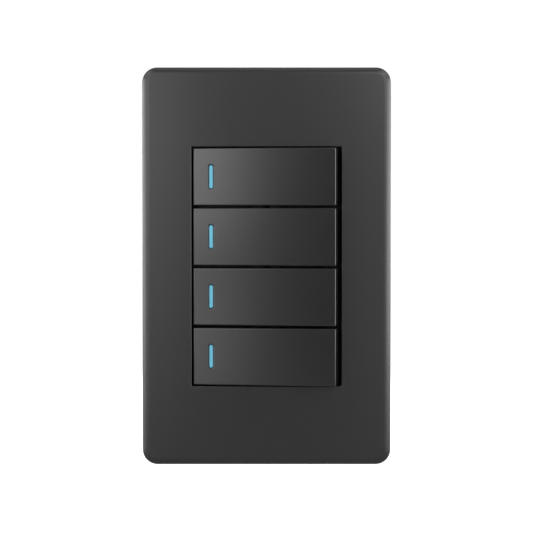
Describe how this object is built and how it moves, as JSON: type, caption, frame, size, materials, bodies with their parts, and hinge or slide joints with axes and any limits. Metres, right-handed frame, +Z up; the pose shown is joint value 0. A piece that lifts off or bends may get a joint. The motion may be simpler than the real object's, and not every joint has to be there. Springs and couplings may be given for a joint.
{
  "type": "four-gang light switch",
  "caption": "Upright rectangular wall plate with stacked rocking keys, each with a narrow blue strip, over see-saw contact modules.",
  "frame": {"origin": "middle of the cover plate's outline, on the wall surface", "axes": "+X to the right, +Y into the wall, +Z up; the keys face -Y"},
  "size_m": [0.075, 0.0321, 0.12],
  "materials": {
    "plate_plastic": "fine matt grain",
    "key_plastic": "satin",
    "strip_plastic": "smooth",
    "frame_plastic": "moulded",
    "module_plastic": "moulded",
    "carrier_plastic": "moulded",
    "plunger_plastic": "smooth",
    "spring_steel": "bright drawn",
    "copper_blade": "rolled copper alloy",
    "silver": "bright silver alloy",
    "brass": "rolled"
  },
  "bodies": {
    "switch": {"cover_plate": "plate_plastic", "mounting_frame": "frame_plastic", "module_bezel_upper": "frame_plastic", "module_bezel_lower": "frame_plastic", "module_housing_upper": "module_plastic", "module_housing_lower": "module_plastic", "fixed_tip_1": "silver", "fixed_tip_2": "silver", "fixed_tip_3": "silver", "fixed_tip_4": "silver", "common_terminal_1": "brass", "common_terminal_2": "brass", "common_terminal_3": "brass", "common_terminal_4": "brass", "common_clamp_1": "spring_steel", "common_clamp_2": "spring_steel", "common_clamp_3": "spring_steel", "common_clamp_4": "spring_steel", "load_terminal_1": "brass", "load_terminal_2": "brass", "load_terminal_3": "brass", "load_terminal_4": "brass", "load_clamp_1": "spring_steel", "load_clamp_2": "spring_steel", "load_clamp_3": "spring_steel", "load_clamp_4": "spring_steel"},
    "key_1": {"key_1": "key_plastic", "indicator_1": "strip_plastic", "rocker_1": "carrier_plastic", "plunger_spring_1": "spring_steel"},
    "plunger_1": {"plunger_1": "plunger_plastic"},
    "lever_1": {"contact_lever_1": "copper_blade", "moving_tip_1": "silver"},
    "key_2": {"key_2": "key_plastic", "indicator_2": "strip_plastic", "rocker_2": "carrier_plastic", "plunger_spring_2": "spring_steel"},
    "plunger_2": {"plunger_2": "plunger_plastic"},
    "lever_2": {"contact_lever_2": "copper_blade", "moving_tip_2": "silver"},
    "key_3": {"key_3": "key_plastic", "indicator_3": "strip_plastic", "rocker_3": "carrier_plastic", "plunger_spring_3": "spring_steel"},
    "plunger_3": {"plunger_3": "plunger_plastic"},
    "lever_3": {"contact_lever_3": "copper_blade", "moving_tip_3": "silver"},
    "key_4": {"key_4": "key_plastic", "indicator_4": "strip_plastic", "rocker_4": "carrier_plastic", "plunger_spring_4": "spring_steel"},
    "plunger_4": {"plunger_4": "plunger_plastic"},
    "lever_4": {"contact_lever_4": "copper_blade", "moving_tip_4": "silver"}
  },
  "joints": [
    {"name": "key_1_rock", "type": "hinge", "parent": "switch", "child": "key_1", "pos_m": [0, -0.0021, 0.027], "axis": [0, 0, 1], "range_deg": [0, 10]},
    {"name": "plunger_1_slide", "type": "slide", "parent": "key_1", "child": "plunger_1", "axis": [-0.0872, -0.9962, 0], "range_m": [0, 0.0006], "stiffness_N_per_m": 800, "springref_m": -0.001, "deforming": ["plunger_spring_1"]},
    {"name": "lever_1_tilt", "type": "hinge", "parent": "switch", "child": "lever_1", "pos_m": [0, 0.01358, 0.027], "axis": [0, 0, 1], "range_deg": [-19, 0]},
    {"name": "key_2_rock", "type": "hinge", "parent": "switch", "child": "key_2", "pos_m": [0, -0.0021, 0.009], "axis": [0, 0, 1], "range_deg": [0, 10]},
    {"name": "plunger_2_slide", "type": "slide", "parent": "key_2", "child": "plunger_2", "axis": [-0.0872, -0.9962, 0], "range_m": [0, 0.0006], "stiffness_N_per_m": 800, "springref_m": -0.001, "deforming": ["plunger_spring_2"]},
    {"name": "lever_2_tilt", "type": "hinge", "parent": "switch", "child": "lever_2", "pos_m": [0, 0.01358, 0.009], "axis": [0, 0, 1], "range_deg": [-19, 0]},
    {"name": "key_3_rock", "type": "hinge", "parent": "switch", "child": "key_3", "pos_m": [0, -0.0021, -0.009], "axis": [0, 0, 1], "range_deg": [0, 10]},
    {"name": "plunger_3_slide", "type": "slide", "parent": "key_3", "child": "plunger_3", "axis": [-0.0872, -0.9962, 0], "range_m": [0, 0.0006], "stiffness_N_per_m": 800, "springref_m": -0.001, "deforming": ["plunger_spring_3"]},
    {"name": "lever_3_tilt", "type": "hinge", "parent": "switch", "child": "lever_3", "pos_m": [0, 0.01358, -0.009], "axis": [0, 0, 1], "range_deg": [-19, 0]},
    {"name": "key_4_rock", "type": "hinge", "parent": "switch", "child": "key_4", "pos_m": [0, -0.0021, -0.027], "axis": [0, 0, 1], "range_deg": [0, 10]},
    {"name": "plunger_4_slide", "type": "slide", "parent": "key_4", "child": "plunger_4", "axis": [-0.0872, -0.9962, 0], "range_m": [0, 0.0006], "stiffness_N_per_m": 800, "springref_m": -0.001, "deforming": ["plunger_spring_4"]},
    {"name": "lever_4_tilt", "type": "hinge", "parent": "switch", "child": "lever_4", "pos_m": [0, 0.01358, -0.027], "axis": [0, 0, 1], "range_deg": [-19, 0]}
  ],
  "couplings": [
    {"joint": "lever_1_tilt", "follows": "key_1_rock", "ratio": -1.9},
    {"joint": "lever_2_tilt", "follows": "key_2_rock", "ratio": -1.9},
    {"joint": "lever_3_tilt", "follows": "key_3_rock", "ratio": -1.9},
    {"joint": "lever_4_tilt", "follows": "key_4_rock", "ratio": -1.9}
  ]
}
